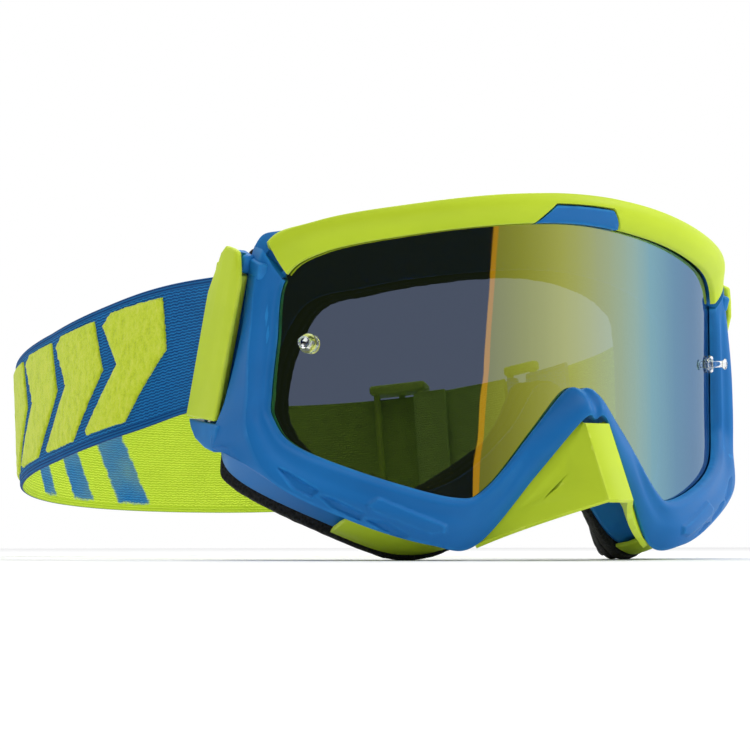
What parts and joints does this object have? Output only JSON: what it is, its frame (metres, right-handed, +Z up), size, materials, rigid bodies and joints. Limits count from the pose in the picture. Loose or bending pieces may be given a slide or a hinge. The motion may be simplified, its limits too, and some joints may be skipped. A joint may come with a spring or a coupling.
{
  "type": "motorcycle goggles",
  "caption": "Off-road goggles: ring frame with bent lens, nose guard, layered face foam, pivoting strap levers and an elastic strap with ring and slider.",
  "frame": {"origin": "centre of the bounding box in plan, at the height of the lowest point of the face foam", "axes": "+Z up, -Y forward as the wearer looks, +X to the wearer's left"},
  "size_m": [0.2118, 0.2705, 0.1054],
  "materials": {
    "frame_blue": "satin",
    "trim_lime": "satin",
    "foam_black": "matte",
    "fleece_black": "matte",
    "lens_mirror": "polished",
    "post_clear": "gloss",
    "webbing": "matte",
    "pin_steel": "satin"
  },
  "bodies": {
    "frame": {"outer_rim": "frame_blue", "inner_frame": "frame_blue", "brow_centre_insert": "frame_blue", "hinge_bracket_left": "frame_blue", "hinge_bracket_right": "frame_blue", "brow_trim": "trim_lime", "nose_guard": "trim_lime", "chin_trim_left": "trim_lime", "chin_trim_right": "trim_lime", "strap_ring": "trim_lime", "face_foam_base": "foam_black", "face_foam_middle": "foam_black", "face_fleece": "fleece_black", "lens": "lens_mirror", "tear_off_post_left": "post_clear", "tear_off_post_right": "post_clear", "post_collar_left": "post_clear", "post_collar_right": "post_clear", "strap_long": "webbing", "strap_short": "webbing", "hinge_pin_left": "pin_steel", "hinge_pin_right": "pin_steel"},
    "lever_left": {"outrigger_left": "trim_lime", "strap_end_left": "webbing"},
    "lever_right": {"outrigger_right": "trim_lime", "strap_end_right": "webbing"},
    "slider": {"strap_slider": "trim_lime", "slider_webbing_loop": "webbing"}
  },
  "joints": [
    {"name": "lever_left_pivot", "type": "hinge", "parent": "frame", "child": "lever_left", "pos_m": [-0.08753, -0.06145, 0.06225], "axis": [0, -0.3746, 0.9272], "range_deg": [-5, 14]},
    {"name": "lever_right_pivot", "type": "hinge", "parent": "frame", "child": "lever_right", "pos_m": [0.08767, -0.06145, 0.06225], "axis": [0, 0.3746, -0.9272], "range_deg": [-5, 14]},
    {"name": "slider_travel", "type": "hinge", "parent": "frame", "child": "slider", "pos_m": [0.00007, 0.02755, 0.05145], "axis": [0, 0.1386, 0.9903], "range_deg": [0, 36]}
  ]
}
